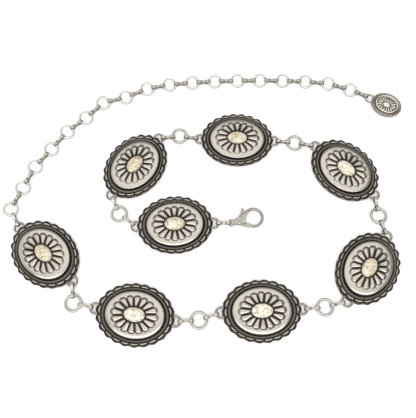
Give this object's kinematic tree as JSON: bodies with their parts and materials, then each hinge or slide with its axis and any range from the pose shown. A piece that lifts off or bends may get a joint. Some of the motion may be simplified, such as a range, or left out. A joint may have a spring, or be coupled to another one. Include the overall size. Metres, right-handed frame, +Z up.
{
  "type": "concho chain belt",
  "caption": "Chain belt of oval scalloped metal conchos set with cream stones, joined by folded links and rings, with a lobster clasp and an extension chain ending in an oval pendant.",
  "frame": {"origin": "middle of the laid belt's box, on the table that the backs rest on", "axes": "+Z up from the table; the belt lies flat in X and Y as laid out, with the extension chain on the +Y side and the clasp's hook opening towards -Y"},
  "size_m": [0.2726, 0.189, 0.0082],
  "materials": {
    "antique_silver": "antiqued silver plate, satin with darkened recesses",
    "cream_stone": "polished cream stone with tan veins",
    "chain_silver": "bright silver plate",
    "satin_nickel": "satin nickel plate"
  },
  "bodies": {
    "belt": {"clasp_body": "satin_nickel", "clasp_link": "chain_silver", "concho_1": "antique_silver", "concho_2": "antique_silver", "concho_3": "antique_silver", "concho_4": "antique_silver", "concho_5": "antique_silver", "concho_6": "antique_silver", "concho_7": "antique_silver", "concho_8": "antique_silver", "end_pendant": "antique_silver", "extension_chain": "chain_silver", "link_1a": "chain_silver", "link_1b": "chain_silver", "link_2a": "chain_silver", "link_2b": "chain_silver", "link_3a": "chain_silver", "link_3b": "chain_silver", "link_4a": "chain_silver", "link_4b": "chain_silver", "link_5a": "chain_silver", "link_5b": "chain_silver", "link_6a": "chain_silver", "link_6b": "chain_silver", "link_7a": "chain_silver", "link_7b": "chain_silver", "ring_1": "chain_silver", "ring_2": "chain_silver", "ring_3": "chain_silver", "ring_4": "chain_silver", "ring_5": "chain_silver", "ring_6": "chain_silver", "ring_7": "chain_silver", "stone_1": "cream_stone", "stone_2": "cream_stone", "stone_3": "cream_stone", "stone_4": "cream_stone", "stone_5": "cream_stone", "stone_6": "cream_stone", "stone_7": "cream_stone", "stone_8": "cream_stone"},
    "lever": {"clasp_lever": "satin_nickel"}
  },
  "joints": [
    {"name": "lever_hinge", "type": "hinge", "parent": "belt", "child": "lever", "pos_m": [0.0204, -0.01567, 0.00175], "axis": [0, 0, 1], "range_deg": [0, 20], "stiffness_Nm_per_rad": 0.02, "springref_deg": -5.73}
  ]
}
